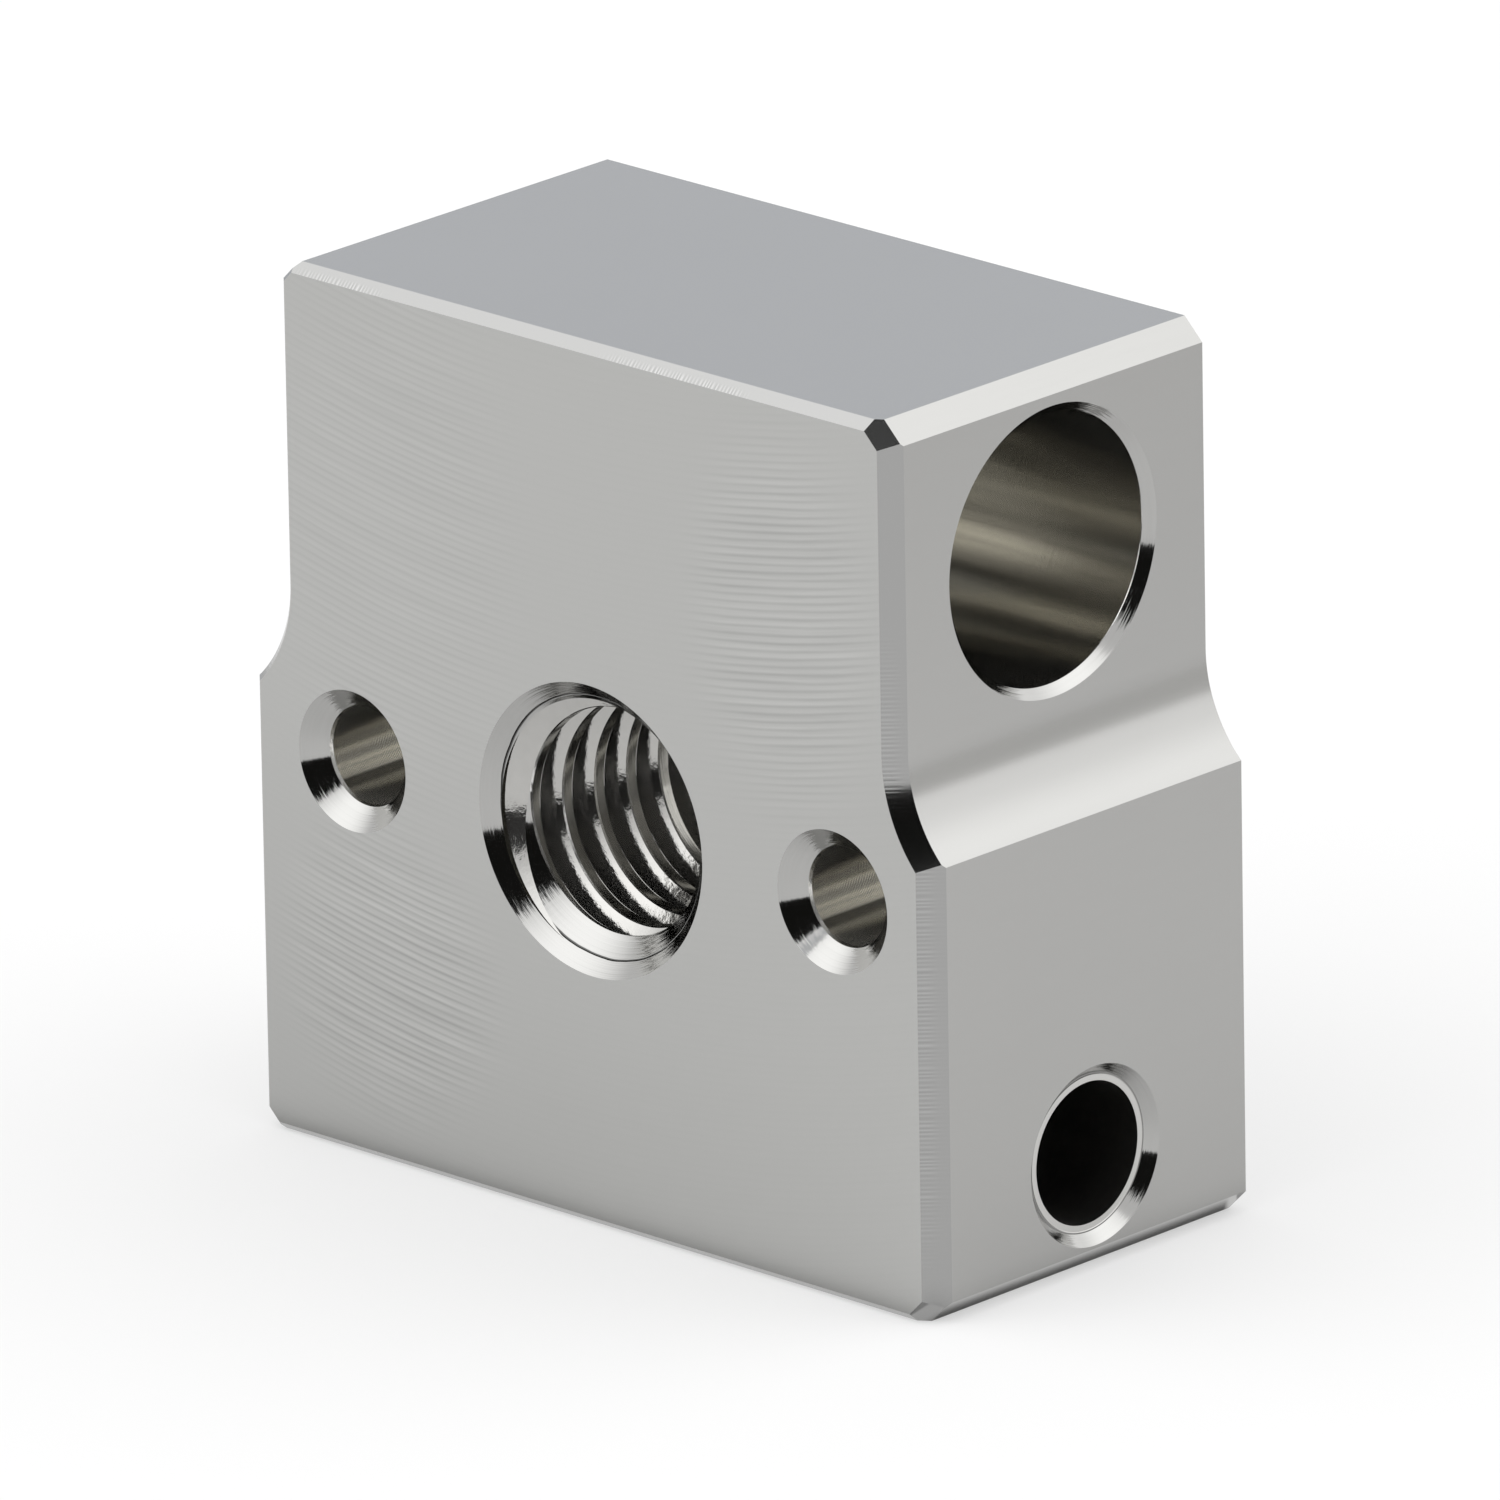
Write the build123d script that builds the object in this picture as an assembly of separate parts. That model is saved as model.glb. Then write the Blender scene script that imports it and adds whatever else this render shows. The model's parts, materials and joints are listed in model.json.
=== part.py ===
from build123d import *
from math import radians, sqrt, tan
import os

# Heater block of a heated nozzle: one solid metal block, milled to its outline and drilled.
# X is the width, Y the depth with the front face towards -Y, and Z is up.
# The origin is the middle of the bottom face. Every size is in millimetres.

# Outline, as seen from the front
foot_width = 20.0
side_relief = 1.0
block_height = 20.0
block_depth = 10.0
shoulder_height = 10.3
relief_radius = 3.2
corner_chamfer = 0.5

# Breaks of the front edges, which are uneven from side to side, and of the back edges
top_break = 0.23
right_corner_break = 0.35
left_corner_break = 0.08
right_waist_break = 0.40
right_foot_break = 0.46
left_break = 0.15
bottom_break = 0.17
back_break = 0.25

# Threaded hole through the depth for the nozzle and the heat break, at its tapping diameter
nozzle_height = 9.0
nozzle_bore_radius = 2.5
nozzle_mouth_radius = 3.3

# Plain fastening holes either side of the threaded hole
fastening_spacing = 14.2
fastening_height = 9.0
fastening_radius = 1.1
fastening_mouth_radius = 1.6

# Bore across the whole width for the heating cartridge
heater_below_top = 4.0
cartridge_diameter = 6.0
cartridge_clearance = 0.025
heater_mouth_radius = 3.25

# Blind bore from the right for the temperature sensor, with a small step in its mouth
sensor_height = 2.6
sensor_diameter = 3.0
sensor_clearance = 0.1
sensor_depth = 14.0
sensor_step_depth = 0.245
sensor_step_radius = 1.79
sensor_mouth_radius = 2.03
drill_point_angle = 118.0

# Screw holes from the back face that clamp the cartridge and the sensor, at their tapping diameter
clamp_screw_x = 0.0
clamp_screw_radius = 1.25
clamp_screw_mouth_radius = 1.6

# How far each cutting shape runs out past the face it starts from
overrun = 1.0

waist_width = foot_width - 2 * side_relief
heater_height = block_height - heater_below_top
relief_top = shoulder_height + sqrt(relief_radius**2 - (relief_radius - side_relief) ** 2)
heater_bore_radius = cartridge_diameter / 2 + cartridge_clearance
sensor_bore_radius = sensor_diameter / 2 + sensor_clearance
front_y = -block_depth / 2
back_y = block_depth / 2


def outline_side(waist, foot, top, bottom, corner):
    """Edges of the right side from the bottom up, each drawn in by its own amount."""
    waist_x = waist_width / 2 - waist
    foot_x = foot_width / 2 - foot
    top_z = block_height - top
    slant = corner_chamfer + sqrt(2) * corner
    top_slant = waist_width / 2 + block_height - slant
    foot_slant = foot_width / 2 - slant
    arc_radius = relief_radius + waist
    arc_centre_to_foot = waist_width / 2 + relief_radius - foot_x
    shoulder_z = relief_top - sqrt(arc_radius**2 - arc_centre_to_foot**2)
    return [
        Line((foot_slant + bottom, bottom), (foot_x, foot_x - foot_slant)),
        Line((foot_x, foot_x - foot_slant), (foot_x, shoulder_z)),
        TangentArc((waist_x, relief_top), (foot_x, shoulder_z), tangent=(0, -1)),
        Line((waist_x, relief_top), (waist_x, top_slant - waist_x)),
        Line((waist_x, top_slant - waist_x), (top_slant - top_z, top_z)),
    ]


def outline(y, right_waist=0, right_foot=0, left=0, top=0, bottom=0, right_corner=0, left_corner=0):
    """Face of the block's outline at depth y, each side drawn in by its own amount."""
    right = outline_side(right_waist, right_foot, top, bottom, right_corner)
    left = [edge.mirror(Plane.YZ) for edge in outline_side(left, left, top, bottom, left_corner)]
    top_edge = Line(right[-1] @ 1, left[-1] @ 1)
    bottom_edge = Line(left[0] @ 0, right[0] @ 0)
    return Plane.XZ.offset(-y) * make_face(right + left + [top_edge, bottom_edge])


def edge_waste(y, inward, **breaks):
    """What 45 degree edge breaks take off all round the face at depth y."""
    reach = 2 * max(breaks.values())
    drawn_out = {side: width - reach for side, width in breaks.items()}
    kept = loft([outline(y, **breaks), outline(y + inward * reach, **drawn_out)], ruled=True)
    slab = Box(foot_width + 2 * overrun, reach, block_height + 2 * overrun)
    return Pos(0, y + inward * reach / 2, block_height / 2) * slab - kept


def turned(*section):
    """Cutting tool turned about Z from its half section of (radius, height) points."""
    return revolve(Plane.XZ * make_face(Polyline(*section, close=True)), Axis.Z)


def through_tool(radius, mouth_radius, length):
    """Tool for a through hole with a 45 degree mouth at both ends, centred on the origin."""
    end = length / 2
    throat = end - (mouth_radius - radius)
    return turned(
        (0, -end - overrun),
        (mouth_radius, -end - overrun),
        (mouth_radius, -end),
        (radius, -throat),
        (radius, throat),
        (mouth_radius, end),
        (mouth_radius, end + overrun),
        (0, end + overrun),
    )


def sensor_tool():
    """Tool for the sensor bore, whose mouth is at height 0 and whose drill point is below."""
    point_depth = sensor_depth + sensor_bore_radius / tan(radians(drill_point_angle / 2))
    return turned(
        (0, overrun),
        (sensor_mouth_radius, overrun),
        (sensor_mouth_radius, 0),
        (sensor_step_radius, -sensor_step_depth),
        (sensor_bore_radius, -sensor_step_depth),
        (sensor_bore_radius, -sensor_depth),
        (0, -point_depth),
    )


def clamp_screw_tool():
    """Tool for a clamping screw's hole, from the back face at height 0 to the bore's axis."""
    return turned(
        (0, overrun),
        (clamp_screw_mouth_radius, overrun),
        (clamp_screw_mouth_radius, 0),
        (clamp_screw_radius, clamp_screw_radius - clamp_screw_mouth_radius),
        (clamp_screw_radius, -block_depth / 2),
        (0, -block_depth / 2),
    )


def heater_block():
    block = extrude(outline(back_y), block_depth)
    block -= edge_waste(
        front_y,
        1,
        right_waist=right_waist_break,
        right_foot=right_foot_break,
        left=left_break,
        top=top_break,
        bottom=bottom_break,
        right_corner=right_corner_break,
        left_corner=left_corner_break,
    )
    block -= edge_waste(
        back_y,
        -1,
        right_waist=back_break,
        right_foot=back_break,
        left=back_break,
        top=back_break,
        bottom=back_break,
        right_corner=back_break,
        left_corner=back_break,
    )

    across_depth = Rot(90, 0, 0)
    block -= Pos(0, 0, nozzle_height) * across_depth * through_tool(
        nozzle_bore_radius, nozzle_mouth_radius, block_depth
    )
    for side in (-1, 1):
        block -= Pos(side * fastening_spacing / 2, 0, fastening_height) * across_depth * through_tool(
            fastening_radius, fastening_mouth_radius, block_depth
        )

    from_right = Rot(0, 90, 0)
    block -= Pos(0, 0, heater_height) * from_right * through_tool(
        heater_bore_radius, heater_mouth_radius, waist_width
    )
    block -= Pos(foot_width / 2, 0, sensor_height) * from_right * sensor_tool()

    from_back = Rot(-90, 0, 0)
    for height in (heater_height, sensor_height):
        block -= Pos(clamp_screw_x, back_y, height) * from_back * clamp_screw_tool()
    return block


os.makedirs("parts", exist_ok=True)
export_step(heater_block(), "parts/heater_block.step")
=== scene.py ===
import json
from collections import namedtuple
from math import acos, cos, pi, radians, sin, sqrt, tan
from types import SimpleNamespace

import bpy
from bpy.props import FloatProperty, FloatVectorProperty, IntProperty, PointerProperty
from mathutils import Matrix, Vector


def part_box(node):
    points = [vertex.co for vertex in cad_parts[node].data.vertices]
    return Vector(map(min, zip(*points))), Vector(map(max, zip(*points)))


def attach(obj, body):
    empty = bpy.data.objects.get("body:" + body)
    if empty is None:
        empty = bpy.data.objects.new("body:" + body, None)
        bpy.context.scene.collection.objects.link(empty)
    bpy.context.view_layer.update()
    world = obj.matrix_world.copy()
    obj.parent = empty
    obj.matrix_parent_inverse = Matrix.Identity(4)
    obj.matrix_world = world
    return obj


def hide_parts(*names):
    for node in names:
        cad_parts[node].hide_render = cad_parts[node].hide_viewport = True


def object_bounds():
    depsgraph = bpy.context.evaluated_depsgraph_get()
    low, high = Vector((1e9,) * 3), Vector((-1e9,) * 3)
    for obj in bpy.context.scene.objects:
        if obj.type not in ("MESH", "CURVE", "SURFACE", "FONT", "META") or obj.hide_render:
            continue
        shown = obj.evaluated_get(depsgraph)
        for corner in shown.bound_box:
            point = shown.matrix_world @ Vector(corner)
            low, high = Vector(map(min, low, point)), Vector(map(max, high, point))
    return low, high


bl_info = {
    "name": "Heater Block",
    "version": (1, 0, 0),
    "blender": (4, 5, 0),
    "location": "3D View > Sidebar > Heater Block",
    "description": "Models a plated heater block with its threaded hole, bores and milled finish",
    "category": "Add Mesh",
}

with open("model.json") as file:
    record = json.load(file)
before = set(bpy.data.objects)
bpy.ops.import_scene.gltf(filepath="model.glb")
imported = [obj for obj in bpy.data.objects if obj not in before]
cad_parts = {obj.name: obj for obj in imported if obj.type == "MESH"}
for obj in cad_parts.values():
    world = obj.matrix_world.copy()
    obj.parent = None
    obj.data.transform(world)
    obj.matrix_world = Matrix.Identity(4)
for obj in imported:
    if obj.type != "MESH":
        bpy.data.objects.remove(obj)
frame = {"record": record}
cad_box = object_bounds()

NODE = "heater_block"
BODY = "root"

# The block is modelled in millimetres and scaled to metres at its end. X is its width, Y its depth
# with the front face towards -Y, and Z is up.
MM = 0.001
LOW, HIGH = (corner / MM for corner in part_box(NODE))
MOUNTS = {mount["name"]: mount for mount in frame["record"]["mounts"]}

DOUBLED = 1e-5  # vertices closer than this are one
SAME_DEPTH = 1e-4  # how near a vertex is to the depth of its outline
ON_CUT = 1e-6  # how near a vertex is to a flat cut that it lies on
SLIVER = 0.0025  # vertices closer than this are slivers left by the cuts
OVERRUN = 1.0  # how far a cutting tool runs out past the face that it starts from
ROD_OVERRUN = 0.4  # the same for a thread's rod
ROD_INSET = 0.002  # how far a rod's crests stay inside the bore, so that their walls never coincide
FLANK_ANGLE = radians(30)  # a metric thread's flank, from square to its axis
SMOOTH_ANGLE = radians(15)  # faces that turn by less than this are shaded as one

# How much of a face's normal lies along its tool's axis: up to the first on a straight wall, up to the
# second on a rim, more on a mouth or a thread's flank, and past the third on a flat square to the axis
RIM_LEAN, MOUTH_LEAN, SQUARE_LEAN = 0.3, 0.6, 0.99


def mount_size(name, key="r_mm"):
    """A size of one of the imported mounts, in millimetres."""
    return MOUNTS[name]["dims"][key]


def mount_place(name):
    """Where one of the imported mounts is, in millimetres."""
    return Vector(MOUNTS[name]["pos_m"]) / MM


def length(name, description, millimetres):
    """A length that the user can change, kept in metres as Blender's units are."""
    return FloatProperty(
        name=name, description=description, default=millimetres * MM, unit="LENGTH", precision=6
    )


def angle(name, description, turn):
    """An angle that the user can change, given in degrees and kept in radians."""
    return FloatProperty(name=name, description=description, default=radians(turn), unit="ROTATION")


def share(name, description, value):
    """A plain amount that the user can change, such as a roughness."""
    return FloatProperty(name=name, description=description, default=value, min=0, subtype="FACTOR")


def colour(name, description, value):
    """A colour that the user can change."""
    return FloatVectorProperty(
        name=name, description=description, default=value, size=3, min=0, max=1, subtype="COLOR"
    )


class OutlineSizes(bpy.types.PropertyGroup):
    side_relief: length("Side Relief", "How far each side is milled back above the shoulder", 1.0)
    shoulder_height: length("Shoulder Height", "Height of the sharp shoulder on each side", 10.3)
    relief_radius: length("Relief Radius", "Radius of the hollow between shoulder and waist", 3.2)
    corner_chamfer: length("Corner Chamfer", "Chamfer along the four corners of the outline", 0.5)
    top_break: length("Top Edge Break", "Break of the front face's top edge", 0.23)
    right_corner_break: length("Right Corner Break", "Break of the front's right corner edges", 0.35)
    left_corner_break: length("Left Corner Break", "Break of the front's left corner edges", 0.08)
    right_waist_break: length("Right Waist Break", "Break of the front's right edge above the shoulder", 0.40)
    right_foot_break: length("Right Foot Break", "Break of the front's right edge below the shoulder", 0.46)
    left_break: length("Left Edge Break", "Break of the front face's left edge", 0.15)
    bottom_break: length("Bottom Edge Break", "Break of the front face's bottom edge", 0.17)
    back_break: length("Back Edge Break", "Break of all the back face's edges", 0.25)
    arc_steps: IntProperty(name="Arc Steps", description="Straight steps in each hollow", default=32, min=4)


class HoleSizes(bpy.types.PropertyGroup):
    nozzle_radius: length("Nozzle Hole Radius", "Radius to the thread's crests", mount_size("nozzle_thread"))
    nozzle_mouth: length("Nozzle Hole Mouth", "Radius of the threaded hole's mouth at the face", 3.3)
    nozzle_pitch: length("Nozzle Thread Pitch", "Distance from one crest to the next", 1.0)
    nozzle_root_radius: length("Nozzle Thread Root", "Radius to the thread's roots", 3.0)
    nozzle_root_flat: length("Nozzle Root Flat", "Width of the flat at the thread's roots", 0.125)
    nozzle_first_crest: length("First Crest", "Depth of its near edge at the front mouth's left", 0.78)
    fastening_radius: length(
        "Fastening Hole Radius", "Radius of the small holes", mount_size("fastening_holes", "hole_r_mm")
    )
    fastening_mouth: length("Fastening Hole Mouth", "Radius of the small holes' countersinks", 1.6)
    heater_radius: length("Heater Bore Radius", "Radius of the heater bore", mount_size("heater_bore"))
    heater_mouth: length("Heater Bore Mouth", "Radius of the heater bore's mouth at the face", 3.25)
    sensor_radius: length("Sensor Bore Radius", "Radius of the sensor bore", mount_size("sensor_bore"))
    sensor_depth: length("Sensor Bore Depth", "Depth of the sensor bore to the start of its point", 14.0)
    sensor_step: length("Sensor Bore Step", "Depth of the flat step in the sensor bore's mouth", 0.245)
    sensor_step_radius: length("Sensor Step Radius", "Outer radius of that step", 1.79)
    sensor_mouth: length("Sensor Bore Mouth", "Radius of the sensor bore's mouth at the face", 2.03)
    drill_point: angle("Drill Point", "Full angle of the point at the sensor bore's end", 118)
    clamp_radius: length("Clamp Hole Radius", "Radius to the crests", mount_size("heater_clamp_screw"))
    clamp_mouth: length("Clamp Hole Mouth", "Radius of the clamping holes' mouths at the back face", 1.6)
    clamp_pitch: length("Clamp Thread Pitch", "Pitch of the clamping threads", 0.5)
    clamp_root_radius: length("Clamp Thread Root", "Radius to the clamping threads' roots", 1.5)
    clamp_root_flat: length("Clamp Root Flat", "Width of the flat at those roots", 0.0625)
    rim: length("Bright Rim", "Width of the burnished rims of the small through holes", 0.045)
    faint_rim: length("Faint Rim", "Width of the burnished rims of the heater bore", 0.01)
    crest_rim: length("Crest Rim", "Width of the bright edges of the nozzle thread's crests", 0.03)
    round_steps: IntProperty(name="Round Steps", description="Steps in each full turn", default=128, min=16)


class ViewSettings(bpy.types.PropertyGroup):
    azimuth: angle("Azimuth", "How far the camera stands round from the front towards the right", 43.586)
    elevation: angle("Elevation", "How far the camera looks down", 18.802)
    roll: angle("Roll", "How far the camera is tipped about its own line of sight", -0.961)
    distance: length("Distance", "From the camera to the point it looks at", 581.6)
    lens: FloatProperty(name="Lens", description="Focal length of the camera", default=648.06, unit="CAMERA")
    aim_right: length("Aim Right", "How far right of the block's middle the camera looks", 0.0105)
    aim_up: length("Aim Up", "How far above the block's middle the camera looks", -0.432)


class FinishSettings(bpy.types.PropertyGroup):
    # Painted light and shade: the one plating is given a lighter colour on the milled faces and darker ones
    # on the sides and edge breaks, to copy how brightly each is lit
    face_colour: colour("Face Colour", "Plating on the milled front and back", (0.451, 0.451, 0.44))
    side_colour: colour("Side Colour", "Plating on the sides and the mouths", (0.41, 0.408, 0.398))
    edge_colour: colour("Edge Colour", "Plating on the edge breaks", (0.351, 0.351, 0.346))
    chamfer_colour: colour("Chamfer Colour", "Plating on the outline's chamfers", (0.4, 0.398, 0.388))
    # Painted highlight: the step's colour is raised to stand for the light that it catches
    step_colour: colour("Step Colour", "Bright step in the sensor bore's mouth", (0.56, 0.555, 0.54))
    # Partly painted highlight: the burnished rims' colour is raised well above the plating's
    rim_colour: colour("Rim Colour", "Burnished rims between a mouth and its bore", (0.8, 0.795, 0.78))
    bore_colour: colour("Bore Colour", "Plating inside the heater bore", (0.54, 0.528, 0.488))
    reamed_colour: colour("Reamed Colour", "Plating inside the small through holes", (0.93, 0.91, 0.85))
    # Painted shade: the blind bore's colour is darkened for the shade deep in it
    blind_colour: colour("Blind Bore Colour", "Wall of the blind sensor bore", (0.35, 0.345, 0.33))
    thread_colour: colour("Thread Colour", "Plating on the threads' flanks", (0.44, 0.435, 0.42))
    # Painted shade: the threads' flats are coloured far darker than the plating
    crest_colour: colour("Crest Colour", "Plating on the threads' flats", (0.15, 0.145, 0.12))
    face_roughness: share("Face Roughness", "Roughness of the milled front and back", 0.28)
    side_roughness: share("Side Roughness", "Roughness of the sides", 0.2)
    edge_roughness: share("Edge Roughness", "Roughness of the chamfers and edge breaks", 0.13)
    mouth_roughness: share("Mouth Roughness", "Roughness of the countersinks", 0.08)
    bore_roughness: share("Bore Roughness", "Roughness of the bore walls", 0.12)
    blind_roughness: share("Blind Bore Roughness", "Roughness of the blind sensor bore", 0.3)
    thread_roughness: share("Thread Roughness", "Roughness of the threads' flanks", 0.07)
    crest_roughness: share("Crest Roughness", "Roughness of the threads' flats", 0.2)
    milling_pitch: length("Milling Pitch", "Distance between the arcs milled on the front", 0.176)
    milling_radius: length("Milling Radius", "Radius of those arcs", 33.0)
    milling_middle: length("Milling Middle", "Where across the face the arcs are lowest", -0.7)
    milling_depth: length("Milling Depth", "Depth of those arcs", 0.0006)
    milling_contrast: share("Milling Contrast", "How much lighter and darker the arcs are", 0.12)
    tick_pitch: length("Tick Pitch", "Distance between the ticks on the edge breaks", 0.1)


class LightSettings(bpy.types.PropertyGroup):
    left_softbox: share("Left Softbox", "Radiance of the broad lamp on the left", 1.2)
    right_softbox: share("Right Softbox", "Radiance of the broad lamp behind on the right", 0.55)
    right_lamp: share("Right Lamp", "Radiance of the small lamp behind on the right", 0.62)
    floor: share("Floor", "Paleness of the floor", 0.76)
    shadow: share("Shadow", "How much of the block's shadow the floor keeps", 0.55)


def in_millimetres(group):
    """The lengths of a property group as millimetres, and its other values as they are."""
    values = {}
    for name, prop in group.bl_rna.properties.items():
        if name in ("rna_type", "name"):
            continue
        value = getattr(group, name)
        values[name] = value / MM if prop.unit == "LENGTH" else value
    return SimpleNamespace(**values)


def only(*objs):
    """Leaves object mode with just these objects selected and the first one active."""
    if bpy.context.object and bpy.context.object.mode != "OBJECT":
        bpy.ops.object.mode_set(mode="OBJECT")
    bpy.ops.object.select_all(action="DESELECT")
    for obj in objs:
        obj.select_set(True)
    bpy.context.view_layer.objects.active = objs[0] if objs else None


def edit(obj):
    """Goes into edit mode on one object with all of it selected."""
    only(obj)
    bpy.ops.object.mode_set(mode="EDIT")
    bpy.ops.mesh.select_mode(type="VERT")
    bpy.ops.mesh.select_all(action="SELECT")


def done():
    """Leaves edit mode."""
    bpy.ops.object.mode_set(mode="OBJECT")


def trace(name, points):
    """A line of edges through the points, drawn by extruding one vertex from point to point."""
    only()
    bpy.ops.mesh.primitive_plane_add(size=1, location=points[0])
    obj = bpy.context.object
    obj.name = name
    bpy.ops.object.transform_apply(location=True, rotation=False, scale=False)
    edit(obj)
    bpy.ops.mesh.merge(type="CENTER")
    for start, end in zip(points, points[1:]):
        move = Vector(end) - Vector(start)
        bpy.ops.mesh.extrude_vertices_move(TRANSFORM_OT_translate={"value": move})
    done()
    return obj


def outward(obj, merge=DOUBLED):
    """Closes doubled vertices and turns every face to point out."""
    edit(obj)
    bpy.ops.mesh.remove_doubles(threshold=merge)
    bpy.ops.mesh.normals_make_consistent(inside=False)
    done()
    return obj


def select_loops(obj, depths):
    """Selects only the edges that lie flat at one of the depths, from edit mode and back to it."""
    done()
    mesh = obj.data
    for part in (*mesh.vertices, *mesh.polygons):
        part.select = False
    for line in mesh.edges:
        ends = [mesh.vertices[index] for index in line.vertices]
        line.select = any(all(abs(end.co.y - depth) < SAME_DEPTH for end in ends) for depth in depths)
        for end in ends:
            end.select = end.select or line.select
    bpy.ops.object.mode_set(mode="EDIT")


def lofted(name, sections):
    """A solid through flat outlines that stand one behind the other along Y."""
    loops = [trace(name, [(x, depth, z) for x, z in [*points, points[0]]]) for depth, points in sections]
    only(*loops)
    bpy.ops.object.join()
    obj = bpy.context.object
    edit(obj)
    bpy.ops.mesh.remove_doubles(threshold=DOUBLED)
    bpy.ops.mesh.select_mode(type="EDGE")
    for (near, _), (far, _) in zip(sections, sections[1:]):
        select_loops(obj, (near, far))
        bpy.ops.mesh.bridge_edge_loops()
    bpy.ops.mesh.select_all(action="SELECT")
    bpy.ops.mesh.fill_holes(sides=0)
    done()
    return outward(obj)


def turned(name, section, steps):
    """A closed solid turned about Z from its half section of (radius, height) points."""
    obj = trace(name, [(radius, 0, height) for radius, height in section])
    edit(obj)
    bpy.ops.mesh.spin(steps=steps, angle=2 * pi, center=(0, 0, 0), axis=(0, 0, 1))
    done()
    return outward(obj)


# A thread's radii to its crests and roots, its pitch, the width of the flat at its roots, and the
# width of the rims that break its crests' edges
ThreadForm = namedtuple("ThreadForm", "crest root pitch root_flat rim")


def threaded_rod(name, form, low, high, steps, crest_edge=0.0):
    """A rod about Z, from one height to another, that cuts a right-hand internal thread.

    One crest of the thread has its upper edge at the height crest_edge, on the side towards -X.
    """
    flank = (form.root - form.crest) * tan(FLANK_ANGLE)
    crest_flat = form.pitch - form.root_flat - 2 * flank
    rim_up, rim_out = form.rim * sin(FLANK_ANGLE), form.rim * cos(FLANK_ANGLE)
    root_start = crest_flat + flank
    profile = [
        (form.crest + rim_out, -rim_up),
        (form.crest, form.rim),
        (form.crest, crest_flat - form.rim),
        (form.crest + rim_out, crest_flat + rim_up),
        (form.root, root_start),
        (form.root, root_start + form.root_flat),
        (form.crest + rim_out, form.pitch - rim_up),
    ]
    # Whole turns below its low end and above its high one, which the flat cuts take off
    turns_below, spare_turns = 2, 4
    start = crest_edge - crest_flat - form.pitch / 2
    start -= (int((start - low) / form.pitch) + turns_below) * form.pitch
    obj = trace(name, [(radius, 0, start + height) for radius, height in profile])
    screw = obj.modifiers.new("thread", "SCREW")
    screw.axis = "Z"
    screw.angle = 2 * pi
    screw.screw_offset = form.pitch
    screw.iterations = int((high - low) / form.pitch) + spare_turns
    screw.steps = screw.render_steps = steps
    screw.use_merge_vertices = True
    screw.merge_threshold = DOUBLED
    only(obj)
    bpy.ops.object.modifier_apply(modifier=screw.name)
    for height, direction in ((low, -1), (high, 1)):
        edit(obj)
        plane = {"plane_co": (0, 0, height), "plane_no": (0, 0, direction)}
        bpy.ops.mesh.bisect(**plane, use_fill=True, clear_outer=True, threshold=ON_CUT)
        done()
    return outward(obj)


def place(obj, at, axis):
    """Turns a solid made about Z onto an axis and moves it, in its mesh."""
    turn = Vector((0, 0, 1)).rotation_difference(Vector(axis)).to_matrix().to_4x4()
    obj.matrix_world = Matrix.Translation(at) @ turn
    only(obj)
    bpy.ops.object.transform_apply(location=True, rotation=True, scale=True)
    return obj


def combine(obj, tool, operation="DIFFERENCE"):
    """Cuts a tool out of a solid, or keeps only what they share, and drops the tool.

    The new faces keep the tool's finishes.
    """
    modifier = obj.modifiers.new("cut", "BOOLEAN")
    modifier.object = tool
    modifier.operation = operation
    modifier.solver = "EXACT"
    modifier.material_mode = "TRANSFER"
    only(obj)
    bpy.ops.object.modifier_apply(modifier=modifier.name)
    bpy.data.objects.remove(tool)


def finish_with(obj, first, *others):
    """Gives a solid its first finish all over, and each other where a face's normal passes its test."""
    for finish, test in [(first, lambda normal: True), *others]:
        obj.data.materials.append(finish)
        for polygon in obj.data.polygons:
            if test(polygon.normal):
                polygon.material_index = len(obj.data.materials) - 1
    return obj


def bored(tool, axis, wall="bore", flare="mouth"):
    """Gives a tool that is still about Z the finishes of a bore along X or Y."""
    rims = (metal("rim"), lambda normal: abs(normal.z) > RIM_LEAN)
    mouths = (metal(flare, axis), lambda normal: abs(normal.z) > MOUTH_LEAN)
    return finish_with(tool, metal(wall, axis), rims, mouths)


def threaded(rod):
    """Gives a thread's rod its finishes: duller flats painted dark as shade, and burnished rims at the
    crests' edges painted bright.
    """
    rims = (metal("rim"), lambda normal: abs(normal.z) < MOUTH_LEAN)
    flanks = metal("thread")
    return finish_with(rod, flanks, rims, (metal("crest"), lambda normal: abs(normal.z) < RIM_LEAN))


def outline_side(sizes, waist, foot, top, bottom, corner):
    """Points up the right side of the outline, each edge drawn in by its own amount."""
    foot_half, height = (HIGH.x - LOW.x) / 2, HIGH.z
    waist_half = foot_half - sizes.side_relief
    foot_x, waist_x, top_z = foot_half - foot, waist_half - waist, height - top
    slant = sizes.corner_chamfer + sqrt(2) * corner
    foot_slant = foot_half - slant
    top_slant = waist_half + height - slant
    points = [(foot_slant + bottom, bottom), (foot_x, foot_x - foot_slant)]
    arc_x = waist_half + sizes.relief_radius
    arc_rise = sqrt(sizes.relief_radius**2 - (sizes.relief_radius - sizes.side_relief) ** 2)
    arc_z = sizes.shoulder_height + arc_rise
    arc_radius = sizes.relief_radius + waist
    sweep = acos((arc_x - foot_x) / arc_radius)
    for step in range(sizes.arc_steps + 1):
        turn = sweep * (1 - step / sizes.arc_steps)
        points.append((arc_x - arc_radius * cos(turn), arc_z - arc_radius * sin(turn)))
    points += [(waist_x, top_slant - waist_x), (top_slant - top_z, top_z)]
    return points


def outline(sizes, right_waist=0, right_foot=0, left=0, top=0, bottom=0, right_corner=0, left_corner=0):
    """Points round the whole outline seen from the front, each side drawn in by its own amount."""
    right_side = outline_side(sizes, right_waist, right_foot, top, bottom, right_corner)
    left_side = outline_side(sizes, left, left, top, bottom, left_corner)
    return right_side + [(-x, z) for x, z in reversed(left_side)]


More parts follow.
